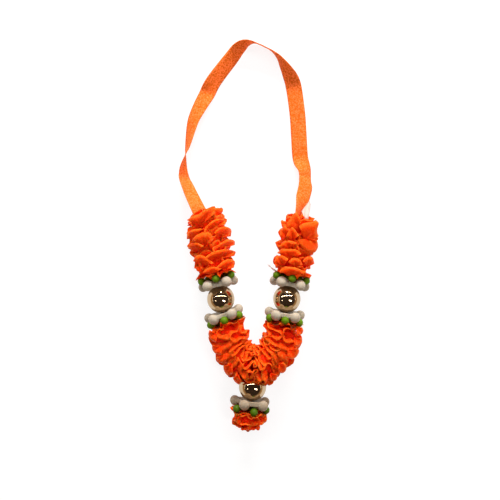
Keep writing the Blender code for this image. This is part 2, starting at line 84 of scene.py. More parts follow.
# Satin looks: where the outer tone starts, size and strength of the gathers, glow, speckle and paler dots; on
# the ruffles the outer tone is the painted highlight of the rolled edge
RUFFLE_SATIN = (0.75, 1.8, 0.5, 0.6, 0.5, 0.006)
LOOP_SATIN = (0.9, 0.25, 0.12, 0.0, 1.3, 0.035)
WARP_RATE = 14.0
WEFT_RATE = 4.9

# Plastics: paler and deeper colour, roughness, gloss, and how much light passes into them
LIT_PLASTICS = {
    "white": ((0.47, 0.40, 0.31), (0.41, 0.345, 0.26), 0.5, 0.12, 0.4),
    "green": ((0.115, 0.215, 0.002), (0.08, 0.16, 0.001), 0.42, 0.15, 0.0),
}
# The same plastics made darker for the pendant's caps: painted shade, as the light falls off towards the
# pendant
SHADED_PLASTICS = {
    "white": ((0.36, 0.285, 0.20), (0.31, 0.24, 0.165), 0.5, 0.12, 0.4),
    "green": ((0.062, 0.125, 0.0005), (0.045, 0.09, 0.0003), 0.42, 0.15, 0.0),
}

# Threads and balls
MAIN_ROUTE = [
    (-0.0206, 0.0165),
    (-0.0149, -0.0102),
    (-0.0127, -0.0213),
    (-0.0104, -0.0322),
    (-0.0064, -0.0440),
    (0.0018, -0.0505),
    (0.0114, -0.0434),
    (0.0145, -0.0322),
    (0.0160, -0.0212),
    (0.0182, -0.0102),
    (0.0223, 0.0140),
]
LEFT_BEAD_AT = (-0.0127, -0.0213)
RIGHT_BEAD_AT = (0.0160, -0.0212)
PENDANT_ROUTE = [(0.0020, -0.0512), (-0.0008, -0.0772)]
PENDANT_BEAD_FROM_TOP = 0.0083
BEAD_RADIUS = 0.006
BORE_RADIUS = 0.0007
BEAD_STEPS = 64
BEAD_RINGS = 40
MOUTH_BEVEL = 0.00012

# Star caps
CAP_ARMS = 5
WHITE_DISTANCE = 0.0073
GREEN_DISTANCE = 0.0093
GREEN_REACH = 0.0068
GREEN_BALL = 0.0017
WHITE_REACH = 0.0069
WHITE_BALL = 0.0023
ARM_START = 0.0012
ARM_SIDES = 20
# Radii of an arm at its start, 0.4 of the way out, and where its ball begins
WHITE_NECK = (0.0012, 0.0014, 0.0016)
GREEN_NECK = (0.0006, 0.0007, 0.0008)
NECK_MIDDLE = 0.4
HUB_RADIUS = 0.0022
HUB_DEPTH = 0.0016
DRILL_DEPTH = 0.01
# A cap's +Z points away from its ball, so a cup towards the ball is below zero
WHITE_CUP = -0.0007
WHITE_TURN = math.radians(36.0)
CAPS = {
    # number: swing of the joint, then tilt and turn of the white star and of the green star, in degrees
    1: (2.0, (-2.0, 0.0), (0.0, 0.0)),
    2: (0.0, (-2.0, 0.0), (0.0, 0.0)),
    3: (6.0, (-3.0, 2.0), (5.0, 0.0)),
    4: (0.0, (-3.0, 0.0), (5.0, 0.0)),
    5: (0.0, (2.0, -12.0), (0.0, -13.0)),
}
PENDANT_CAPS = 5
CAP_VOXEL = 0.0002
WEB_DROP = 0.0006
WEB_START = 0.001
WEB_CUP_REACH = 0.009
WEB_THINNING = 0.15
WEB_ROUNDNESS = 0.8
WEB_STEPS = 80
WEB_RINGS = 10
# Reach of the white web between two arms and along an arm, and half its thickness
WHITE_WEB = (0.0056, 0.0074, 0.0011)

# Ruffles
PLEAT_PITCH = 0.0025
STRANDS = 8
PLEAT_ROOT_SHARE = 0.7
CORE_RADIUS = 0.0048
CORE_END_SHARE = 0.45
CORE_END_TAPER = 0.003
CORE_TO_BEAD = 0.0007
CORE_FULLNESS = 1.3
CORE_STEP = 0.001
CORE_SIDES = 24
RUFFLE_RADIUS = 0.0088
RUFFLE_START = 0.0112
BEAD_NEST_RADIUS = 0.0066
DRAPE_FROM = 0.3
DRAPE_RADIUS = 0.0064
DRAPE_HALF_WIDTH = 0.0052
DRAPE_REACH = 0.0046
DRAPE_DIP = 0.0024
DRAPE_SQUEEZE = 0.5
LEAST_BEND_SPACING = 0.36
FOOT_SWELL = 0.0007
END_SPREAD = 0.6
LOBE_PITCH = 0.0050
SATIN_GAP = 0.0001
LEAST_SWING = 19.0
MOST_SWING = 30.0
DRIFT = 10.0
SECTIONS = 14
RADIAL_STEPS = 9
PUFF = 0.00036
BOW = 0.45
STRAY = 0.0008
STRAY_SCALE = 260.0
NOISE_SEED = 11
PUFF_FROM = 0.7
FOLD_SIZES = (0.92, 1.07)
MIDDLE_SIZES = (0.86, 0.98)
BULGES = (0.12, 0.28)
CUPS = (-0.35, 0.35)
LEANS = (-0.3, 0.3)
BOW_FROM = 0.4
CALM_PITCHES = 2.5
SPREAD_PITCHES = 1.5
# Ripples and creases: size, how fast they come along the ribbon, and how fast they change from root to edge
RIPPLES = [(0.10, 4.2, 2.5), (0.08, 9.7, 4.0)]
CREASES = [(0.30, 1.1, 1.3, 0.0), (0.16, 2.6, 1.7, 3.0)]
CREASE_SWELL = 0.5
STRAND_APART = 7.0
STRAY_APART = 5.0
ROOT_HALF = 0.00015
CREASE_DEPTH = 0.0009
TABLE_GAP = 0.00005
TASSEL_PITCH = 0.0022
TASSEL_LENGTH = 0.0058
RUFFLES = {
    # capped: whether its start and end meet a star cap; shear and scale: at shares of its length
    "ruffle_upper_left": {
        "seed": 4,
        "capped": (False, True),
        "lobe": 0.05,
        "lean": -0.9,
        "shear": [(0.0, -0.5), (0.3, -0.3), (1.0, -0.25)],
        "scale": [(0.0, 0.72), (0.12, 0.88), (0.25, 1.0), (1.0, 1.0)],
    },
    "ruffle_upper_right": {
        "seed": 8,
        "capped": (True, False),
        "lobe": 0.05,
        "lean": -0.9,
        "shear": [(0.0, 0.15), (0.7, 0.1), (1.0, -0.2)],
        "scale": [(0.0, 0.96), (0.72, 0.98), (1.0, 0.66)],
    },
    "ruffle_lower_v": {
        "seed": 5,
        "capped": (True, True),
        "lobe": 0.07,
        "lean": 0.9,
        "shear": [(0.0, -0.1), (0.25, -0.25), (0.42, -0.1), (0.58, 0.1), (0.75, 0.25), (1.0, 0.1)],
        "scale": [(0.0, 0.96), (0.34, 0.97), (0.41, 1.16), (0.59, 1.12), (0.66, 0.97), (1.0, 0.96)],
    },
    "ruffle_tassel": {
        "seed": 2,
        "capped": (True, False),
        "lobe": 0.02,
        "lean": 0.7,
        "shear": [(0.0, 0.0), (0.4, -0.12), (1.0, -0.26)],
        "scale": [(0.0, 0.97), (0.35, 0.9), (0.8, 0.74), (1.0, 0.52)],
    },
}
# Wide petals on top of the ruffles, read as pixels of the photograph: the root, then the rim
PHOTO_MIDDLE = 250.0
PETAL_SEEN_HEIGHT = 0.0155
PLACE_DECIMALS = 4
UPPER_LEFT_PETALS = [
    ((200, 227), [(187, 220), (193, 217), (200, 214.5), (206, 210), (214.4, 206.3), (214.8, 214)]),
    ((195, 238.5), [(186.4, 239), (187.8, 233), (193.5, 230), (202, 229)]),
    ((205, 247), [(192, 240), (198, 235), (205, 233), (211, 234), (213.5, 240)]),
    ((212, 229), [(208, 226), (214, 220.5), (220, 219), (226, 218.5), (225, 224)]),
    ((219, 238), [(214.5, 233), (219, 228.5), (225, 226.5), (230.3, 229), (230, 236)]),
    ((222, 249), [(217, 246.5), (222, 242.5), (228, 239.5), (233.5, 240.5), (234, 245)]),
    ((196, 252), [(187, 248), (191, 243.5), (198, 243), (204, 246)]),
    ((215, 259.5), [(206, 257.5), (212, 253), (219, 250.5), (227, 249.5), (234.4, 251.5), (234, 256)]),
    ((203, 265), [(193, 261), (197, 256), (203, 256), (209, 259.5), (214.5, 263.5)]),
    ((225, 269.5), [(218.5, 265.5), (224, 261), (229, 259.5), (234.2, 261.5), (233.2, 268)]),
    ((213, 274), [(203, 272.5), (208, 268.5), (215, 267), (222, 268.5)]),
]
UPPER_RIGHT_PETALS = [
    ((304, 241), [(298.5, 226.5), (303, 223.5), (310, 222.5), (318, 222.5), (317, 230), (318.5, 237)]),
    ((308, 239), [(297, 240), (301, 247), (308, 252.5), (315, 252), (318.5, 246), (317, 240)]),
    ((300, 230), [(285, 227.5), (288.5, 221.5), (291.5, 217), (294.8, 213.2), (298, 216.5), (300, 221)]),
    ((287, 238), [(280.2, 236.5), (281.2, 230), (285, 226.5), (289, 228)]),
    ((292.5, 240), [(286, 237), (288.5, 231), (291.5, 227.5), (295, 231), (298, 236)]),
    ((290, 249), [(280, 246), (284, 242), (290, 241), (297, 243)]),
    ((289, 257.5), [(277.5, 253), (282, 249), (289, 249.5), (296, 250), (301, 254)]),
    ((283, 266), [(274.8, 262), (277, 256.5), (282, 256), (288, 259)]),
    ((295.5, 267), [(288, 262), (293, 258), (299, 260), (302, 264.5)]),
    ((307, 267), [(302, 261), (307, 256.5), (312.5, 258), (314.5, 264)]),
    ((291, 275.5), [(279, 272), (284, 267.5), (291, 267), (299, 269), (306, 272.5)]),
]
LOWER_PETALS = [
    ((217, 334), [(209.8, 330), (208.6, 335), (211, 339.5), (216, 342)]),
    ((222, 346), [(212.5, 345), (212.2, 350), (215.5, 353.5), (221.5, 354.5)]),
    ((226, 354), [(216.8, 357.5), (217.2, 361), (221, 362.5), (227, 359)]),
    ((231.5, 363), [(223.5, 366), (224.2, 372), (228, 376.3), (233, 373)]),
    ((238, 374), [(233, 378), (235, 383), (239, 385.3), (241.5, 381.5)]),
    ((296, 328), [(297, 334.5), (301.5, 334.5), (303.3, 331), (302, 327.5)]),
    ((294, 338), [(294, 345), (298.5, 346.5), (302.3, 343.5), (301.8, 338.5)]),
    ((288, 350), [(287, 356), (292, 359), (296.5, 357.5), (299.3, 352), (297, 348)]),
    ((279, 363), [(278, 370), (282, 373.5), (285.6, 371.5), (285.8, 366), (283, 362.5)]),
    ((270, 373), [(270, 379), (273, 382.3), (276.3, 380), (277.3, 374.5)]),
]
PETALS = {
    "ruffle_upper_left": UPPER_LEFT_PETALS,
    "ruffle_upper_right": UPPER_RIGHT_PETALS,
    "ruffle_lower_v": LOWER_PETALS,
}
PETAL_ROOT_DEPTH = 0.0012
PETAL_RIM_LIFT = 0.0008
PETAL_STEPS = 10
PETAL_BULGE = 0.0007
PETAL_CURL = 0.0007
PETAL_WAVES = 2.0
PETAL_WAVE_DEPTH = 0.0003
PETAL_CLOTH = 0.0004
PETAL_FROM = 0.08
PETAL_ROLL_FROM = 0.8
# How fast a petal's colour runs from the painted shade at its root to the painted highlight at its rim
PETAL_SHADE_TO_HIGHLIGHT = 1.15
CAPPED_OVERHANG = 0.0014
LOOSE_OVERHANG = 0.0003

# Hanging ribbon: x, y, least height of its middle, and roll in degrees with its right edge raised
LOOP_WIDTH = 0.007
LOOP_THICKNESS = 0.0006
LOOP_CLOTH = 0.0003
LOOP_GAP = 0.0003
LOOP_SPACING = 0.0012
LOOP_CROWN = 0.00025
LOOP_ACROSS_STEPS = 10
LOOP_START_IN_PLEATS = (-0.0212, 0.0155, 0.0112, 146.0)
LOOP_END_IN_PLEATS = (0.0206, 0.0140, 0.0108, 70.0)
LOOP_ROUTE = [
    (-0.0226, 0.0183, 0.0109, 142.0),
    (-0.0265, 0.0263, 0.0070, 134.0),
    (-0.0295, 0.0341, 0.0030, 118.0),
    (-0.0285, 0.0421, 0.0, 84.0),
    (-0.0277, 0.0457, 0.0, 68.0),
    (-0.0254, 0.0570, 0.0, 40.0),
    (-0.0227, 0.0634, 0.0, 24.0),
    (-0.0199, 0.0687, 0.0, 8.0),
    (-0.0163, 0.0752, 0.0, -26.0),
    (-0.0080, 0.0859, 0.0, -38.0),
    (-0.0057, 0.0889, 0.0, -46.0),
    (-0.0034, 0.0908, 0.0, -62.0),
    (-0.0011, 0.0918, 0.0, -84.0),
    (0.0016, 0.0921, 0.0, -103.0),
    (0.0038, 0.0916, 0.0, -108.0),
    (0.0064, 0.0904, 0.0, -108.0),
    (0.0091, 0.0889, 0.0, -105.0),
    (0.0122, 0.0860, 0.0, -90.0),
    (0.0142, 0.0832, 0.0, -74.0),
    (0.0166, 0.0795, 0.0, -53.0),
    (0.0187, 0.0757, 0.0, -27.0),
    (0.0199, 0.0712, 0.0, -7.0),
    (0.0213, 0.0607, 0.0, -1.0),
    (0.0219, 0.0515, 0.0, 0.0),
    (0.0226, 0.0412, 0.0, 2.0),
    (0.0243, 0.0355, 0.0008, 34.0),
    (0.0245, 0.0308, 0.0040, 38.0),
    (0.0244, 0.0277, 0.0055, 26.0),
    (0.0228, 0.0222, 0.0085, 30.0),
    (0.0212, 0.0172, 0.0109, 60.0),
]
TAIL_OUTLINE = [(0.0, 0.0), (0.0016, -0.0003), (0.0030, 0.0062), (0.0026, 0.0080), (-0.0011, 0.0033)]
TAIL_AT = (0.0232, 0.0134, 0.0152)
TAIL_FALL = 0.75
TAIL_CLOTH = 0.0002
# Waves of the tail, across and along: height, and radians in a metre
TAIL_WAVES = ((0.0002, 3000.0), (0.0001, 2100.0))

# Fine hairs
WISP_RADIUS = 0.00017
STITCH_RADIUS = 0.0002
HAIR_STEPS = 5
HAIR_SIDES = 8
HAIR_TAPER = 0.5

WISP_ROUTES = [
    [(0.0128, -0.0100, 0.0080), (0.0096, -0.0079, 0.0086), (0.0076, -0.0062, 0.0090)],
    [(0.0128, -0.0102, 0.0079), (0.0098, -0.0084, 0.0090), (0.0084, -0.0064, 0.0094)],
    [(0.0127, -0.0099, 0.0080), (0.0090, -0.0074, 0.0082), (0.0080, -0.0069, 0.0080)],
]
STITCH_ROUTES = [
    [(-0.0216, 0.0166, 0.0118), (-0.0219, 0.0162, 0.0127), (-0.0222, 0.0158, 0.0118)],
]

low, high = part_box("gold_bead_pendant")
SHIFT = Vector(((low[0] + high[0]) / 2 - PENDANT_PLACE[0], (low[1] + high[1]) / 2 - PENDANT_PLACE[1], 0.0))


def add_camera():
    data = bpy.data.cameras.new("camera")
    data.angle = CAMERA_ANGLE
    data.clip_start = CAMERA_CLIP_START
    camera = bpy.data.objects.new("camera", data)
    bpy.context.scene.collection.objects.link(camera)
    camera.location = (SHIFT.x, SHIFT.y, CAMERA_HEIGHT)
    bpy.context.scene.camera = camera


def add_light(name, location, size, power):
    """A lamp that faces the middle of the picture."""
    data = bpy.data.lights.new(name, "AREA")
    data.shape = "RECTANGLE"
    data.size, data.size_y = size
    data.energy = power
    light = bpy.data.objects.new(name, data)
    bpy.context.scene.collection.objects.link(light)
    light.location = Vector(location) + SHIFT
    light.rotation_euler = (SHIFT - light.location).to_track_quat("-Z", "Y").to_euler()


class Shader:
    """A small helper that adds nodes to one material."""

    def __init__(self, name, **values):
        self.material = bpy.data.materials.new(name)
        self.material.use_nodes = True
        self.tree = self.material.node_tree
        self.main = self.tree.nodes["Principled BSDF"]
        self.place = self.tree.nodes.new("ShaderNodeTexCoord").outputs["Object"]
        for key, value in values.items():
            self.main.inputs[key.replace("_", " ")].default_value = value

    def node(self, kind, settings=None, **links):
        made = self.tree.nodes.new(kind)
        for key, value in (settings or {}).items():
            if key in made.inputs:
                made.inputs[key].default_value = value
            else:
                setattr(made, key, value)
        for key, value in links.items():
            self.link(value, made.inputs[key.replace("_", " ")])
        return made

    def link(self, source, target):
        if hasattr(source, "outputs"):
            source = source.outputs[0]
        self.tree.links.new(source, target)

    def use(self, **links):
        """Leads nodes into the material's own sockets."""
        for key, value in links.items():
            self.link(value, self.main.inputs[key.replace("_", " ")])

    def texture(self, kind, **settings):
        """The strength of a texture that is fixed to the object."""
        return self.node(f"ShaderNodeTex{kind}", settings, Vector=self.place).outputs["Fac"]

    def math(self, operation, *values):
        made = self.tree.nodes.new("ShaderNodeMath")
        made.operation = operation
        for socket, value in zip(made.inputs, values):
            if isinstance(value, (int, float)):
                socket.default_value = value
            else:
                self.link(value, socket)
        return made

    def ramp(self, factor, stops):
        made = self.tree.nodes.new("ShaderNodeValToRGB")
        elements = made.color_ramp.elements
        for number, (place, colour) in enumerate(stops):
            element = elements[number] if number < 2 else elements.new(place)
            element.position = place
            element.color = (*colour, 1.0)
        self.link(factor, made.inputs[0])
        return made

    def bump(self, height, strength, distance, before=None):
        made = self.node("ShaderNodeBump", {"Strength": strength, "Distance": distance})
        self.link(height, made.inputs["Height"])
        if before is not None:
            self.link(before, made.inputs["Normal"])
        return made


def satin(name, colours, edge_from, gather, gather_strength, glow, speckle, paleness):
    """Satin ribbon. Its UV map runs along it in U, and from one edge to the other, or root to edge, in V."""
    deep, middle, edge = colours
    shader = Shader(
        name,
        IOR=1.3,
        Specular_IOR_Level=0.06,
        Specular_Tint=(1.0, 0.5, 0.2, 1.0),
        Subsurface_Weight=glow,
        Subsurface_Scale=0.0012,
        Subsurface_Radius=(1.0, 0.2, 0.05),
    )
    uv = shader.node("ShaderNodeUVMap", {"uv_map": "ribbon"})
    split = shader.node("ShaderNodeSeparateXYZ", Vector=uv)
    along, across = split.outputs["X"], split.outputs["Y"]
    spots = shader.texture("Noise", Scale=1500.0, Detail=1.0, Roughness=0.5)
    clouds = shader.texture("Noise", Scale=160.0, Detail=2.0)

    # Colour across V: on the ruffles, painted shade at the stitches that turns into a painted highlight at
    # the rolled edge; on the hanging ribbon the three colours are nearly the same
    tone = shader.ramp(across, [(0.0, deep), (edge_from * 0.55, middle), (edge_from, middle), (1.0, edge)])
    brightness = shader.math("MULTIPLY_ADD", clouds, 0.3, 0.85)
    sparkle = shader.math("MULTIPLY_ADD", spots, speckle, brightness)
    lowered = shader.math("SUBTRACT", sparkle, speckle / 2)
    dots = shader.ramp(spots, [(0.42, (0.0, 0.0, 0.0)), (0.62, (1.0, 1.0, 1.0))])
    paler = shader.math("MULTIPLY_ADD", dots, -paleness, 1.0)
    varied = shader.node("ShaderNodeHueSaturation", Color=tone, Value=lowered, Saturation=paler)

    warp = shader.math("SINE", shader.math("MULTIPLY", along, WARP_RATE))
    weft = shader.math("SINE", shader.math("MULTIPLY", across, WEFT_RATE))
    woven = shader.math("ADD", warp, shader.math("MULTIPLY", weft, 0.5))
    stretched = shader.node("ShaderNodeCombineXYZ", X=shader.math("MULTIPLY", along, gather), Y=across)
    gather_settings = {"Scale": 1.0, "Detail": 2.0, "Roughness": 0.55}
    gathers = shader.node("ShaderNodeTexNoise", gather_settings, Vector=stretched)
    normal = shader.bump(woven, 0.25, 0.00003)
    normal = shader.bump(spots, 0.35, 0.00012, normal)
    normal = shader.bump(gathers.outputs["Fac"], gather_strength, 0.0006, normal)

    duller = shader.math("MULTIPLY_ADD", across, -0.35, 0.55)
    rough = shader.math("MULTIPLY_ADD", spots, 0.3, duller)
    shader.use(Base_Color=varied, Normal=normal, Roughness=rough)
    return shader.material


def plastic(name, light, dark, roughness, specular, soft):
    """Moulded plastic with uneven depth of colour and a faint orange-peel surface."""
    shader = Shader(
        name,
        Roughness=roughness,
        Specular_IOR_Level=specular,
        Subsurface_Weight=soft,
        Subsurface_Scale=0.0016,
        Subsurface_Radius=(1.0, 0.8, 0.6),
    )
    clouds = shader.texture("Noise", Scale=330.0, Detail=4.0, Roughness=0.55)
    fine = shader.texture("Noise", Scale=1500.0, Detail=2.0)
    tone = shader.ramp(clouds, [(0.3, dark), (0.62, light)])
    shader.use(Base_Color=tone, Normal=shader.bump(fine, 0.2, 0.00006))
    return shader.material


def mirror():
    shader = Shader("gold_mirror_look", Metallic=0.97)
    dents = shader.texture("Noise", Scale=240.0, Detail=1.0)
    scuffs = shader.texture("Noise", Scale=1200.0, Detail=3.0)
    tone = shader.ramp(dents, [(0.3, (0.51, 0.365, 0.215)), (0.7, (0.57, 0.42, 0.26))])
    rough = shader.math("MULTIPLY", scuffs, 0.06)
    shader.use(Base_Color=tone, Normal=shader.bump(dents, 0.06, 0.0002), Roughness=rough)
    return shader.material


def thread_look():
    shader = Shader("thread_look", Roughness=0.7)
    twist = shader.texture("Wave", Scale=900.0, Distortion=2.0)
    tone = shader.ramp(twist, [(0.0, (0.45, 0.05, 0.01)), (1.0, (0.85, 0.22, 0.06))])
    shader.use(Base_Color=tone, Normal=shader.bump(twist, 0.5, 0.0001))
    return shader.material


def pale_tail_look():
    shader = Shader("pale_tail_look", Roughness=0.45, Transmission_Weight=0.25, Alpha=0.82)
    ribs = shader.texture("Wave", Scale=520.0, Distortion=1.5, Detail=2.0)
    tone = shader.ramp(ribs, [(0.2, (0.70, 0.36, 0.25)), (0.8, (0.74, 0.66, 0.60))])
    shader.use(Base_Color=tone, Normal=shader.bump(ribs, 0.4, 0.0001))
    return shader.material


def floor_look():
    shader = Shader(
        "floor_look",
        Roughness=0.75,
        Specular_IOR_Level=0.2,
        Emission_Strength=0.86,
        Emission_Color=(1.0, 1.0, 1.0, 1.0),
    )
    grain = shader.texture("Noise", Scale=90.0, Detail=4.0)
    shader.use(Base_Color=shader.ramp(grain, [(0.0, (0.18, 0.18, 0.18)), (1.0, (0.22, 0.22, 0.22))]))
    return shader.material


class Route:
    """A thread's smooth route, read by the distance along it."""

    def __init__(self, corners):
        self.points = self.smoothed(corners)
        self.distances = [0.0]
        for before, after in zip(self.points, self.points[1:]):
            self.distances.append(self.distances[-1] + (after - before).length)
        self.length = self.distances[-1]

    @staticmethod
    def smoothed(corners):
        flat = [Vector((x, y, AXIS_HEIGHT)) + SHIFT for x, y in corners]
        points = []
        for a, b, c, d in spans(flat):
            steps = max(2, round((c - b).length / ROUTE_STEP))
            points += [curved(a, b, c, d, step / steps) for step in range(steps)]
        points.append(flat[-1])
        return points

    def at(self, distance):
        index = 0
        while index < len(self.points) - 2 and self.distances[index + 1] < distance:
            index += 1
        before, after = self.points[index], self.points[index + 1]
        share = (distance - self.distances[index]) / (self.distances[index + 1] - self.distances[index])
        return before.lerp(after, share)

    def tangent(self, distance):
        return (self.at(distance + ROUTE_STEP) - self.at(distance - ROUTE_STEP)).normalized()

    def side(self, distance):
        return UP.cross(self.tangent(distance))

    def bend(self, distance):
        reach = 4 * ROUTE_STEP
        turned = self.tangent(distance + reach) - self.tangent(distance - reach)
        return turned.dot(self.side(distance)) / (2 * reach)

    def nearest(self, place):
        target = Vector((*place, AXIS_HEIGHT)) + SHIFT
        index = min(range(len(self.points)), key=lambda i: (self.points[i] - target).length)
        return self.distances[index]


def spans(points):
    ends = [points[0] * 2 - points[1], *points, points[-1] * 2 - points[-2]]
    return zip(ends, ends[1:], ends[2:], ends[3:])


def curved(a, b, c, d, t):
    """A point on the Catmull-Rom curve between b and c."""
    return 0.5 * (2 * b + (c - a) * t + (2 * a - 5 * b + 4 * c - d) * t**2 + (3 * b - a - 3 * c + d) * t**3)


def new_object(name, mesh, material=None):
    item = bpy.data.objects.new(name, mesh)
    bpy.context.scene.collection.objects.link(item)
    if material:
        mesh.materials.append(material)
    return item


def grid_mesh(name, rows, uvs):
    """A smooth sheet through rows of points, with its UV map."""
    shape = bmesh.new()
    layer = shape.loops.layers.uv.new("ribbon")
    verts = [[shape.verts.new(point) for point in row] for row in rows]
    for i in range(len(rows) - 1):
        for j in range(len(rows[0]) - 1):
            corners = [(i, j), (i + 1, j), (i + 1, j + 1), (i, j + 1)]
            face = shape.faces.new([verts[a][b] for a, b in corners])
            face.smooth = True
            for loop, (a, b) in zip(face.loops, corners):
                loop[layer].uv = uvs[a][b]
    mesh = bpy.data.meshes.new(name)
    shape.to_mesh(mesh)
    shape.free()
    return mesh


def thickened(mesh, thickness):
    """The sheet with its thickness, as a mesh of its own."""
    item = new_object(mesh.name, mesh)
    solid = item.modifiers.new("thickness", "SOLIDIFY")
    solid.thickness = thickness
    solid.offset = 0.0
    made = bpy.data.meshes.new_from_object(item.evaluated_get(bpy.context.evaluated_depsgraph_get()))
    bpy.data.objects.remove(item, do_unlink=True)
    return made


def joined(name, meshes, material):
    shape = bmesh.new()
    for mesh in meshes:
        shape.from_mesh(mesh)
    out = bpy.data.meshes.new(name)
    shape.to_mesh(out)
    shape.free()
    return new_object(name, out, material)


def tube_mesh(name, points, radii, steps, uv_v):
    """A closed round tube with its ends drawn in."""
    rows, uvs = [], []
    travelled = 0.0
    for number, (point, radius) in enumerate(zip(points, radii)):
        before, after = points[max(0, number - 1)], points[min(len(points) - 1, number + 1)]
        tangent = (after - before).normalized()
        side = UP.cross(tangent).normalized()
        lifted = tangent.cross(side)
        if number:
            travelled += (point - points[number - 1]).length
        row = []
        for step in range(steps + 1):
            angle = 2 * math.pi * step / steps
            row.append(point + (side * math.sin(angle) + lifted * math.cos(angle)) * radius)
        rows.append(row)
        uvs.append([(travelled * 1000, uv_v)] * (steps + 1))
    mesh = grid_mesh(name, rows, uvs)
    shape = bmesh.new()
    shape.from_mesh(mesh)
    bmesh.ops.remove_doubles(shape, verts=shape.verts, dist=MERGE_DISTANCE)
    bmesh.ops.holes_fill(shape, edges=[edge for edge in shape.edges if edge.is_boundary], sides=0)
    bmesh.ops.recalc_face_normals(shape, faces=shape.faces)
    shape.to_mesh(mesh)
    shape.free()
    return mesh


def swing_angles(rng, count, middle):
    """The angle of each fold, in radians: folds lie on alternate sides of a strand's middle."""
    angles = []
    for number in range(count + 1):
        swing = rng.uniform(LEAST_SWING, MOST_SWING)
        drift = rng.uniform(-DRIFT, DRIFT)
        angles.append(math.radians(middle + drift + (swing if number % 2 else -swing)))
    return angles


def stepped(table, share):
    for (left, low), (right, high) in zip(table, table[1:]):
        if share <= right:
            return low + (high - low) * max(0.0, (share - left) / (right - left))
    return table[-1][1]


def clear_of_bend(route, distance, facing, radius):
    closeness = route.bend(distance) * facing.dot(route.side(distance))
    if closeness <= 0:
        return radius
    return min(radius, (1 - LEAST_BEND_SPACING) / closeness)


def clear_of_bead(base, facing, radius, bead_centre):
    """Shortens a pleat that points at the pendant's ball."""
    if bead_centre is None or facing.z > DRAPE_FROM:
        return radius
    to_bead = bead_centre - base
    along = to_bead.dot(facing)
    missed_by = (to_bead - facing * along).length
    if along <= 0 or missed_by >= BEAD_NEST_RADIUS:
        return radius
    return min(radius, along - math.sqrt(BEAD_NEST_RADIUS**2 - missed_by**2))


def draped(point, bead_centre):
    """Moves a point out of the pendant's ball, so that the petals above it lie on it."""
    if bead_centre is None:
        return point
    aside = point.x - bead_centre.x
    lowest = bead_centre.y + DRAPE_REACH - DRAPE_DIP * min(1.0, (aside / DRAPE_HALF_WIDTH) ** 2)
    if abs(aside) < DRAPE_HALF_WIDTH and point.z > bead_centre.z and point.y < lowest:
        point = Vector((point.x, lowest + (point.y - lowest) * DRAPE_SQUEEZE, point.z))
    away = point - bead_centre
    if away.length >= DRAPE_RADIUS:
        return point
    return bead_centre + away.normalized() * DRAPE_RADIUS


def kept_off(point, balls):
    """Moves a point off the green balls: seen from above it stays beside them, and below it clears them."""
    room = GREEN_BALL + SATIN_GAP
    for centre, outward in balls:
        away = point - centre
        if away.z < 0:
            if away.length < room:
                point = centre + away.normalized() * room
            continue
        along = away.dot(outward)
        across = (Vector((away.x, away.y, 0.0)) - outward * along).length
        if across < room and along < math.sqrt(room**2 - across**2) and along > -GREEN_BALL * 2:
            point = point + outward * (math.sqrt(room**2 - across**2) - along)
    return point


def core_radius(place, route, start, end, style, bead_centre):
    inset = min(place - start, end - place) / CORE_END_TAPER
    share = CORE_END_SHARE + (1 - CORE_END_SHARE) * min(1.0, max(0.0, inset))
    radius = CORE_RADIUS * share * stepped(style["scale"], (place - start) / (end - start))
    if bead_centre is None:
        return radius
    return min(radius, (route.at(place) - bead_centre).length - BEAD_RADIUS - CORE_TO_BEAD)


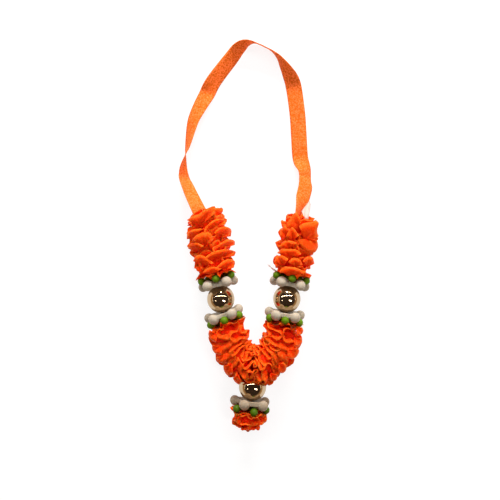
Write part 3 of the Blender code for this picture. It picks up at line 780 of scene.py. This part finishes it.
def strand_grid(route, start, end, pitch, style, strand, bead_centre):
    """The middle surface of one strand of gathered ribbon: it swings to and fro in rounded folds."""
    rng = random.Random(100 * style["seed"] + strand)
    shift = rng.uniform(0.0, 2 * pitch)
    count = max(3, round((end - start) / pitch)) + 2
    step = (end - start + 2 * pitch) / count
    middle = 360.0 * (strand + 0.5) / STRANDS
    angles = swing_angles(rng, count, middle)
    fold_sizes = [rng.uniform(*FOLD_SIZES) for _ in range(count + 1)]
    middle_sizes = [rng.uniform(*MIDDLE_SIZES) for _ in range(count + 1)]
    bulges = [rng.uniform(*BULGES) for _ in range(count + 1)]
    cups = [rng.uniform(*CUPS) for _ in range(count + 1)]
    leans = [rng.uniform(*LEANS) for _ in range(count + 1)]
    phases = [rng.uniform(0.0, 2 * math.pi) for _ in RIPPLES]
    overhangs = [CAPPED_OVERHANG if capped else LOOSE_OVERHANG for capped in style["capped"]]
    rows = []
    for number in range(count * SECTIONS + 1):
        pleat = min(number // SECTIONS, count - 1)
        t = number / SECTIONS - pleat
        nearer = pleat if t < 0.5 else pleat + 1
        wave = (1 - math.cos(math.pi * t)) / 2
        angle = angles[pleat] + (angles[pleat + 1] - angles[pleat]) * wave
        bulge = bulges[pleat] + (bulges[pleat + 1] - bulges[pleat]) * t
        along = start - 2 * pitch + shift + step * (pleat + t + bulge * math.sin(2 * math.pi * t))
        along = min(end, max(start, along))
        fold = fold_sizes[pleat] + (fold_sizes[pleat + 1] - fold_sizes[pleat]) * wave
        size = fold + (middle_sizes[pleat] - fold) * math.sin(math.pi * t) ** 2
        size *= stepped(style["scale"], (along - start) / (end - start))
        size *= 1 + style["lobe"] * math.cos(2 * math.pi * along / LOBE_PITCH + 0.8 * angle + style["seed"])
        cup = cups[pleat] + (cups[pleat + 1] - cups[pleat]) * wave
        lean = leans[pleat] + (leans[pleat + 1] - leans[pleat]) * wave
        shear = stepped(style["shear"], (along - start) / (end - start))
        to_caps = [room for room, capped in zip((along - start, end - along), style["capped"]) if capped]
        inside = min(1.0, max(0.0, min(to_caps) / (CALM_PITCHES * pitch)))
        spread = 0.0
        if style["capped"][1]:
            spread += END_SPREAD * max(0.0, 1 - (end - along) / (SPREAD_PITCHES * pitch))
        if style["capped"][0]:
            spread -= END_SPREAD * max(0.0, 1 - (along - start) / (SPREAD_PITCHES * pitch))
        row = []
        for k in range(RADIAL_STEPS):
            stop = k / (RADIAL_STEPS - 1)
            ripple = 0.0
            for (size_share, rate, change), phase in zip(RIPPLES, phases):
                ripple += size_share * math.sin(rate * number / SECTIONS + phase + change * stop)
            down = -route.tangent(along).y * style["lean"] + lean
            offset = (math.degrees(angle) - middle) / MOST_SWING
            down += math.copysign(BOW, down) * (1 - offset * offset) if abs(down) > BOW_FROM else 0.0
            down *= inside
            down += spread
            place = along + pitch * (cup * math.sin(math.pi * stop) + ripple * stop + down * stop * stop)
            place += shear * inside * RUFFLE_RADIUS * math.sin(angle) * stop
            place = min(end + overhangs[1], max(start - overhangs[0], place))
            base = route.at(place)
            facing = UP * math.cos(angle) + route.side(place) * math.sin(angle)
            outer = (RUFFLE_RADIUS - PUFF * 0.5) * size + FOOT_SWELL * max(0.0, -facing.z) ** 2
            outer = clear_of_bend(route, place, facing, outer)
            outer = clear_of_bead(base, facing, outer, bead_centre)
            root = PLEAT_ROOT_SHARE * core_radius(along, route, start, end, style, bead_centre)
            point = base + facing * (root + (outer - root) * stop)
            stray = noise.noise_vector(point * STRAY_SCALE + UP * STRAY_APART * strand) * STRAY * stop
            row.append(draped(point + stray, bead_centre))
        rows.append(row)
    return rows


def puff_profile(stop):
    """Half a fold's thickness at a share of the way out: thin at the stitches, full near the rolled edge."""
    if stop < PUFF_FROM:
        rise = stop / PUFF_FROM
        return ROOT_HALF + (PUFF - ROOT_HALF) * rise * rise * (3 - 2 * rise)
    return PUFF * math.sqrt(max(0.0, 1 - ((stop - PUFF_FROM) / (1 - PUFF_FROM)) ** 2))


def strand_mesh(name, route, start, end, pitch, style, strand, bead_centre, balls):
    """A strand with its soft thickness: each fold is a rolled edge that thins towards the stitches."""
    grid = strand_grid(route, start, end, pitch, style, strand, bead_centre)
    last = len(grid) - 1
    rows, uvs = [], []
    travelled = 0.0
    for i, row in enumerate(grid):
        before, after = grid[max(0, i - 1)], grid[min(last, i + 1)]
        if i:
            travelled += (row[-2] - grid[i - 1][-2]).length * 1000
        upper, lower = [], []
        for k in range(RADIAL_STEPS):
            stop = k / (RADIAL_STEPS - 1)
            out = row[min(k + 1, RADIAL_STEPS - 1)] - row[max(0, k - 1)]
            on = after[k] - before[k]
            normal = out.cross(on)
            normal = normal.normalized() if normal.length > 1e-12 else UP
            crease = 0.0
            for share, rate, change, begin in CREASES:
                spot = Vector((travelled * rate, stop * change, begin + STRAND_APART * strand))
                crease += noise.noise(spot) * share
            swell = puff_profile(stop) * (1 + CREASE_SWELL * crease)
            slide = normal * (crease * CREASE_DEPTH * min(1.0, 2 * stop))
            upper.append((row[k] + slide + normal * swell, stop))
            lower.append((row[k] + slide - normal * swell, stop))
        ring = upper + lower[-2::-1]
        points = []
        for point, _ in ring:
            point = kept_off(point, balls)
            point.z = max(point.z, TABLE_GAP)
            points.append(point)
        rows.append(points)
        # V is the share of the way out, so the satin paints shade at the stitches and a highlight at the
        # rolled edge
        uvs.append([(travelled, stop) for _, stop in ring])
    return grid_mesh(name, rows, uvs)


def seen_at(column, line):
    """The place of a petal's point that the photograph shows at these pixels, to a tenth of a millimetre."""
    pixel = (CAMERA_HEIGHT - PETAL_SEEN_HEIGHT) * math.tan(CAMERA_ANGLE / 2) / PHOTO_MIDDLE
    x, y = (column - PHOTO_MIDDLE) * pixel, (PHOTO_MIDDLE - line) * pixel
    return round(x, PLACE_DECIMALS), round(y, PLACE_DECIMALS)


def on_ruffle(pixels, route, radius):
    """The point above a place, at a radius from the thread; beside the ruffle it is as high as the thread."""
    place = seen_at(*pixels)
    point = Vector((*place, 0.0)) + SHIFT
    beside = route.at(route.nearest(place)) - point
    point.z = AXIS_HEIGHT + math.sqrt(max(0.0, radius**2 - beside.x**2 - beside.y**2))
    return point


def petal_mesh(name, route, root, rim, bead_centre, balls):
    """A wide petal that faces up: it fans out from its root to a rolled rim."""
    root = on_ruffle(root, route, RUFFLE_RADIUS - PETAL_ROOT_DEPTH)
    knots = [on_ruffle(pixels, route, RUFFLE_RADIUS + PETAL_RIM_LIFT) for pixels in rim]
    edge = []
    for a, b, c, d in spans(knots):
        edge += [curved(a, b, c, d, step / PETAL_STEPS) for step in range(PETAL_STEPS)]
    edge.append(knots[-1])
    rows, uvs = [], []
    travelled = 0.0
    for number, point in enumerate(edge):
        if number:
            travelled += (point - edge[number - 1]).length * 1000
        wave = PETAL_WAVE_DEPTH * math.sin(2 * math.pi * PETAL_WAVES * number / (len(edge) - 1))
        row = []
        for k in range(PETAL_STEPS + 1):
            stop = k / PETAL_STEPS
            rolled = max(0.0, stop - PETAL_ROLL_FROM) / (1 - PETAL_ROLL_FROM)
            height = PETAL_BULGE * math.sin(math.pi * stop) + wave * stop - PETAL_CURL * rolled
            place = root.lerp(point, PETAL_FROM + (1 - PETAL_FROM) * stop) + UP * height
            row.append(kept_off(draped(place, bead_centre), balls))
        rows.append(row)
        uvs.append([(travelled, min(1.0, PETAL_SHADE_TO_HIGHLIGHT * k / PETAL_STEPS)) for k in range(PETAL_STEPS + 1)])
    return thickened(grid_mesh(name, rows, uvs), PETAL_CLOTH)


def ruffle(name, route, start, end, pitch, bead_centre, balls, material):
    style = RUFFLES[name]
    meshes = [
        strand_mesh(f"{name}_{strand}", route, start, end, pitch, style, strand, bead_centre, balls)
        for strand in range(STRANDS)
    ]
    runs = max(10, round((end - start) / CORE_STEP))
    stops = [start + (end - start) * number / runs for number in range(runs + 1)]
    radii = [core_radius(stop, route, start, end, style, bead_centre) * CORE_FULLNESS for stop in stops]
    # At V 0 the core takes the painted shade colour of the satin's stitches
    meshes.append(tube_mesh(name + "_core", [route.at(stop) for stop in stops], radii, CORE_SIDES, 0.0))
    for number, (root, rim) in enumerate(PETALS.get(name, [])):
        meshes.append(petal_mesh(f"{name}_petal_{number}", route, root, rim, bead_centre, balls))
    made = joined(name + "_satin", meshes, material)
    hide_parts(name)
    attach(made, "root")


def bead(name, centre, direction, material):
    """A ball with a bore that the thread passes through."""
    mouth = math.asin(BORE_RADIUS / BEAD_RADIUS)
    shape = bmesh.new()
    ring = []
    for number in range(BEAD_RINGS):
        angle = mouth + (math.pi - 2 * mouth) * number / (BEAD_RINGS - 1)
        ring.append(shape.verts.new((BEAD_RADIUS * math.sin(angle), 0.0, BEAD_RADIUS * math.cos(angle))))
    for before, after in zip(ring, ring[1:] + ring[:1]):
        shape.edges.new((before, after))
    bmesh.ops.spin(
        shape,
        geom=shape.verts[:] + shape.edges[:],
        cent=(0, 0, 0),
        axis=(0, 0, 1),
        angle=2 * math.pi,
        steps=BEAD_STEPS,
    )
    bmesh.ops.remove_doubles(shape, verts=shape.verts, dist=MERGE_DISTANCE)
    bmesh.ops.recalc_face_normals(shape, faces=shape.faces)
    for face in shape.faces:
        face.smooth = True
    mesh = bpy.data.meshes.new(name)
    shape.to_mesh(mesh)
    shape.free()
    item = new_object(name + "_mirror", mesh, material)
    item.rotation_euler = direction.to_track_quat("Z", "Y").to_euler()
    item.location = centre
    bevel_mouth(item)
    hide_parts(name)
    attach(item, "root")


def bevel_mouth(item):
    bevel = item.modifiers.new("mouth", "BEVEL")
    bevel.width = MOUTH_BEVEL
    bevel.segments = 2
    bevel.limit_method = "ANGLE"
    bevel.angle_limit = math.radians(50.0)


def lathe_arm(shape, outline, turn, cup):
    """A round arm along +X turned about Z by turn, its tip moved by cup along Z."""
    rings = []
    for reach, radius in outline:
        ring = []
        for step in range(ARM_SIDES):
            angle = 2 * math.pi * step / ARM_SIDES
            lift = cup * (reach / outline[-1][0]) ** 2
            point = Vector((reach, radius * math.cos(angle), radius * math.sin(angle) + lift))
            ring.append(shape.verts.new(Matrix.Rotation(turn, 3, "Z") @ point))
        rings.append(ring)
    for before, after in zip(rings, rings[1:]):
        for k in range(ARM_SIDES):
            next_k = (k + 1) % ARM_SIDES
            shape.faces.new((before[k], after[k], after[next_k], before[next_k]))
    shape.faces.new(rings[0])
    shape.faces.new(list(reversed(rings[-1])))


def ball_arm_outline(neck, ball, reach, count=9):
    """An arm out to a ball of this radius centred at reach: a neck that flares into the ball."""
    points = [(ARM_START, neck[0]), (ARM_START + (reach - ARM_START) * NECK_MIDDLE, neck[1])]
    first = math.asin(min(0.98, neck[2] / ball))
    for number in range(count):
        angle = math.pi - first - (math.pi - first) * number / (count - 1)
        points.append((reach + ball * math.cos(angle), max(0.00002, ball * math.sin(angle))))
    return points


def cap_mesh(name, outline, first_turn, cup, web):
    shape = bmesh.new()
    for number in range(CAP_ARMS):
        lathe_arm(shape, outline, first_turn + 2 * math.pi * number / CAP_ARMS, cup)
    bmesh.ops.create_cone(
        shape, cap_ends=True, segments=40, radius1=HUB_RADIUS, radius2=HUB_RADIUS, depth=HUB_DEPTH
    )
    if web:
        add_web(shape, first_turn, cup, *web)
    bmesh.ops.recalc_face_normals(shape, faces=shape.faces)
    mesh = bpy.data.meshes.new(name)
    shape.to_mesh(mesh)
    shape.free()
    item = new_object(name, mesh)
    remesh = item.modifiers.new("skin", "REMESH")
    remesh.mode = "VOXEL"
    remesh.voxel_size = CAP_VOXEL
    smooth = item.modifiers.new("soften", "SMOOTH")
    smooth.factor = 0.5
    smooth.iterations = 4
    drill = new_object(name + "_drill", bpy.data.meshes.new(name + "_drill"))
    shape = bmesh.new()
    bmesh.ops.create_cone(
        shape, cap_ends=True, segments=24, radius1=BORE_RADIUS, radius2=BORE_RADIUS, depth=DRILL_DEPTH
    )
    shape.to_mesh(drill.data)
    shape.free()
    bore = item.modifiers.new("bore", "BOOLEAN")
    bore.operation = "DIFFERENCE"
    bore.object = drill
    made = bpy.data.meshes.new_from_object(item.evaluated_get(bpy.context.evaluated_depsgraph_get()))
    made.shade_smooth()
    bpy.data.objects.remove(item, do_unlink=True)
    bpy.data.objects.remove(drill, do_unlink=True)
    return made


def add_web(shape, first_turn, cup, inner, outer, thickness):
    """A thin scalloped dish between the arms."""
    sheets = []
    for face in (1, -1):
        rows = []
        for ring in range(WEB_RINGS):
            share = ring / (WEB_RINGS - 1)
            row = []
            for step in range(WEB_STEPS):
                angle = 2 * math.pi * step / WEB_STEPS
                lobe = (0.5 + 0.5 * math.cos(CAP_ARMS * (angle - first_turn))) ** WEB_ROUNDNESS
                reach = WEB_START + (inner + (outer - inner) * lobe - WEB_START) * share
                lift = cup * (reach / WEB_CUP_REACH) ** 2 - WEB_DROP * share
                half = face * thickness * (1 - WEB_THINNING * share)
                row.append(shape.verts.new((reach * math.cos(angle), reach * math.sin(angle), lift + half)))
            rows.append(row)
        sheets.append(rows)
    for rows in sheets:
        for before, after in zip(rows, rows[1:]):
            for k in range(WEB_STEPS):
                next_k = (k + 1) % WEB_STEPS
                shape.faces.new((before[k], after[k], after[next_k], before[next_k]))
    for edge in (0, -1):
        top, bottom = sheets[0][edge], sheets[1][edge]
        for k in range(WEB_STEPS):
            next_k = (k + 1) % WEB_STEPS
            shape.faces.new((top[k], top[next_k], bottom[next_k], bottom[k]))


def cap_places(number, route, bead_place, outward):
    """Where the white and the green star of one joint sit."""
    middle = bead_place + outward * (WHITE_DISTANCE + GREEN_DISTANCE) / 2
    pivot = route.at(middle)
    side = route.tangent(middle).cross(UP) * outward
    places = []
    swing, *stars = CAPS[number]
    swung = Matrix.Rotation(math.radians(swing), 4, "Z")
    for distance, (tilt, turn) in zip((WHITE_DISTANCE, GREEN_DISTANCE), stars):
        leaning = swung @ Matrix.Rotation(math.radians(tilt), 4, side)
        leaning = Matrix.Translation(pivot) @ leaning @ Matrix.Translation(-pivot)
        place = bead_place + outward * distance
        direction = route.tangent(place) * outward
        upright = Matrix((UP, direction.cross(UP), direction)).transposed().to_4x4()
        turned = Matrix.Rotation(math.radians(turn), 4, "Z")
        places.append(leaning @ Matrix.Translation(route.at(place)) @ upright @ turned)
    return places


def green_balls(places):
    """Each ball of a green star: its centre and the level direction in which the satin keeps off it."""
    green = places[1]
    outward = green.to_3x3() @ UP
    outward = Vector((outward.x, outward.y, 0.0)).normalized()
    angles = [2 * math.pi * number / CAP_ARMS for number in range(CAP_ARMS)]
    spots = [Vector((GREEN_REACH * math.cos(angle), GREEN_REACH * math.sin(angle), 0.0)) for angle in angles]
    return [(green @ spot, outward) for spot in spots]


def star_caps(number, places, meshes, plastics):
    for colour, place in zip(("white", "green"), places):
        cap = new_object(f"{colour}_cap_{number}_moulded", meshes[colour].copy(), plastics[colour])
        cap.matrix_world = place
        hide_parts(f"{colour}_cap_{number}")
        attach(cap, "root")


def loop_places():
    route = [LOOP_START_IN_PLEATS, *LOOP_ROUTE, LOOP_END_IN_PLEATS]
    knots = [Vector((x, y, z, math.radians(roll))) for x, y, z, roll in route]
    places = []
    for a, b, c, d in spans(knots):
        steps = max(1, round((c - b).xyz.length / LOOP_SPACING))
        places += [curved(a, b, c, d, step / steps) for step in range(steps)]
    places.append(knots[-1])
    resting = []
    for place in places:
        roll = place.w
        lift = LOOP_WIDTH / 2 * abs(math.sin(roll)) + LOOP_THICKNESS / 2 * abs(math.cos(roll)) + LOOP_GAP
        resting.append((Vector((place.x, place.y, max(place.z, lift))) + SHIFT, roll))
    return resting


def hanging_ribbon(material):
    places = loop_places()
    points = [place for place, _ in places]
    rows, uvs = [], []
    travelled = 0.0
    for number, (point, roll) in enumerate(places):
        before, after = points[max(0, number - 1)], points[min(len(points) - 1, number + 1)]
        tangent = (after - before).normalized()
        right = tangent.cross(UP).normalized()
        lifted = right.cross(tangent)
        across = right * math.cos(roll) + lifted * math.sin(roll)
        through = tangent.cross(across)
        if number:
            travelled += (point - points[number - 1]).length
        row, uv_row = [], []
        for k in range(LOOP_ACROSS_STEPS + 1):
            share = 2 * k / LOOP_ACROSS_STEPS - 1
            crown = LOOP_CROWN * (1 - share * share)
            row.append(point + across * share * LOOP_WIDTH / 2 - through * crown)
            uv_row.append((travelled * 1000, k / LOOP_ACROSS_STEPS))
        rows.append(row)
        uvs.append(uv_row)
    mesh = thickened(grid_mesh("ribbon_loop_satin", rows, uvs), LOOP_CLOTH)
    ribbon = new_object("ribbon_loop_satin", mesh, material)
    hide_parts("ribbon_loop")
    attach(ribbon, "root")


def tail(material):
    shape = bmesh.new()
    face = shape.faces.new([shape.verts.new((x, y, 0.0)) for x, y in TAIL_OUTLINE])
    bmesh.ops.triangulate(shape, faces=[face])
    bmesh.ops.subdivide_edges(shape, edges=shape.edges[:], cuts=5, use_grid_fill=True)
    (height, rate), (long_height, long_rate) = TAIL_WAVES
    for vertex in shape.verts:
        x, y, _ = vertex.co
        vertex.co.z = height * math.sin(x * rate) + long_height * math.sin(y * long_rate) - TAIL_FALL * y
    mesh = bpy.data.meshes.new("ribbon_tail_film")
    shape.to_mesh(mesh)
    shape.free()
    item = new_object("ribbon_tail_film", thickened(mesh, TAIL_CLOTH), material)
    item.data.shade_smooth()
    item.location = Vector(TAIL_AT) + SHIFT
    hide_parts("ribbon_tail")
    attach(item, "root")


def hairs(name, routes, radius, material):
    """A few fine hairs, each a closed round tube."""
    meshes = []
    for number, corners in enumerate(routes):
        knots = [Vector(corner) + SHIFT for corner in corners]
        points = []
        for a, b, c, d in spans(knots):
            points += [curved(a, b, c, d, step / HAIR_STEPS) for step in range(HAIR_STEPS)]
        points.append(knots[-1])
        radii = [radius * (1 - HAIR_TAPER * k / len(points)) for k in range(len(points))]
        meshes.append(tube_mesh(f"{name}_{number}", points, radii, HAIR_SIDES, 0.5))
    item = joined(name, meshes, material)
    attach(item, "root")


def floor():
    shape = bmesh.new()
    bmesh.ops.create_grid(shape, x_segments=4, y_segments=4, size=FLOOR_HALF)
    mesh = bpy.data.meshes.new("floor")
    shape.to_mesh(mesh)
    shape.free()
    item = new_object("floor", mesh, floor_look())
    item.location = SHIFT


def studio():
    scene = bpy.context.scene
    scene.view_settings.view_transform = "Standard"
    world = bpy.data.worlds.new("studio")
    scene.world = world
    world.use_nodes = True
    nodes, links = world.node_tree.nodes, world.node_tree.links
    place = nodes.new("ShaderNodeTexCoord")
    split = nodes.new("ShaderNodeSeparateXYZ")
    ramp = nodes.new("ShaderNodeValToRGB")
    links.new(place.outputs["Generated"], split.inputs[0])
    links.new(split.outputs["Z"], ramp.inputs[0])
    links.new(ramp.outputs["Color"], nodes["Background"].inputs["Color"])
    for element, (height, colour) in zip(ramp.color_ramp.elements, WORLD_STOPS):
        element.position = height
        element.color = (*colour, 1.0)
    nodes["Background"].inputs["Strength"].default_value = WORLD_STRENGTH
    for name, location, size, power in LIGHTS:
        add_light(name, location, size, power)


def main():
    noise.seed_set(NOISE_SEED)
    add_camera()
    studio()
    floor()
    ruffle_satin = satin("ruffle_satin_painted_shade_look", RUFFLE_SHADE_TO_HIGHLIGHT_COLOURS, *RUFFLE_SATIN)
    hanging_ribbon(satin("loop_satin_look", LOOP_COLOURS, *LOOP_SATIN))

    main_route = Route(MAIN_ROUTE)
    pendant_route = Route(PENDANT_ROUTE)
    left = main_route.nearest(LEFT_BEAD_AT)
    right = main_route.nearest(RIGHT_BEAD_AT)
    pendant_centre = pendant_route.at(PENDANT_BEAD_FROM_TOP)
    caps = {
        1: cap_places(1, main_route, left, -1),
        2: cap_places(2, main_route, right, 1),
        3: cap_places(3, main_route, left, 1),
        4: cap_places(4, main_route, right, -1),
        5: cap_places(5, pendant_route, PENDANT_BEAD_FROM_TOP, 1),
    }
    upper_left = (main_route, 0.0, left - RUFFLE_START, PLEAT_PITCH)
    upper_right = (main_route, right + RUFFLE_START, main_route.length, PLEAT_PITCH)
    lower_v = (main_route, left + RUFFLE_START, right - RUFFLE_START, PLEAT_PITCH)
    tassel_start = PENDANT_BEAD_FROM_TOP + RUFFLE_START
    tassel = (pendant_route, tassel_start, tassel_start + TASSEL_LENGTH, TASSEL_PITCH)
    ruffle("ruffle_upper_left", *upper_left, None, green_balls(caps[1]), ruffle_satin)
    ruffle("ruffle_upper_right", *upper_right, None, green_balls(caps[2]), ruffle_satin)
    lower_balls = green_balls(caps[3]) + green_balls(caps[4])
    ruffle("ruffle_lower_v", *lower_v, pendant_centre, lower_balls, ruffle_satin)
    ruffle("ruffle_tassel", *tassel, None, green_balls(caps[5]), ruffle_satin)

    gold = mirror()
    bead("gold_bead_left", main_route.at(left), main_route.tangent(left), gold)
    bead("gold_bead_right", main_route.at(right), main_route.tangent(right), gold)
    bead("gold_bead_pendant", pendant_centre, pendant_route.tangent(PENDANT_BEAD_FROM_TOP), gold)

    white_outline = ball_arm_outline(WHITE_NECK, WHITE_BALL, WHITE_REACH)
    green_outline = ball_arm_outline(GREEN_NECK, GREEN_BALL, GREEN_REACH)
    meshes = {
        "white": cap_mesh("white_cap", white_outline, WHITE_TURN, WHITE_CUP, WHITE_WEB),
        "green": cap_mesh("green_cap", green_outline, 0.0, 0.0, None),
    }
    lit_looks = {colour: plastic(f"{colour}_plastic_look", *look) for colour, look in LIT_PLASTICS.items()}
    shaded = {colour: plastic(f"dull_{colour}_plastic_look", *look) for colour, look in SHADED_PLASTICS.items()}
    # The pendant's caps take the darker copies, as painted shade
    for number, places in caps.items():
        star_caps(number, places, meshes, shaded if number == PENDANT_CAPS else lit_looks)

    pale = pale_tail_look()
    tail(pale)
    hairs("frayed_wisp", WISP_ROUTES, WISP_RADIUS, pale)
    hairs("end_stitch", STITCH_ROUTES, STITCH_RADIUS, pale)
    twisted = thread_look()
    for name in ("thread_main", "thread_pendant"):
        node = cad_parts[name]
        node.data.materials.clear()
        node.data.materials.append(twisted)


main()
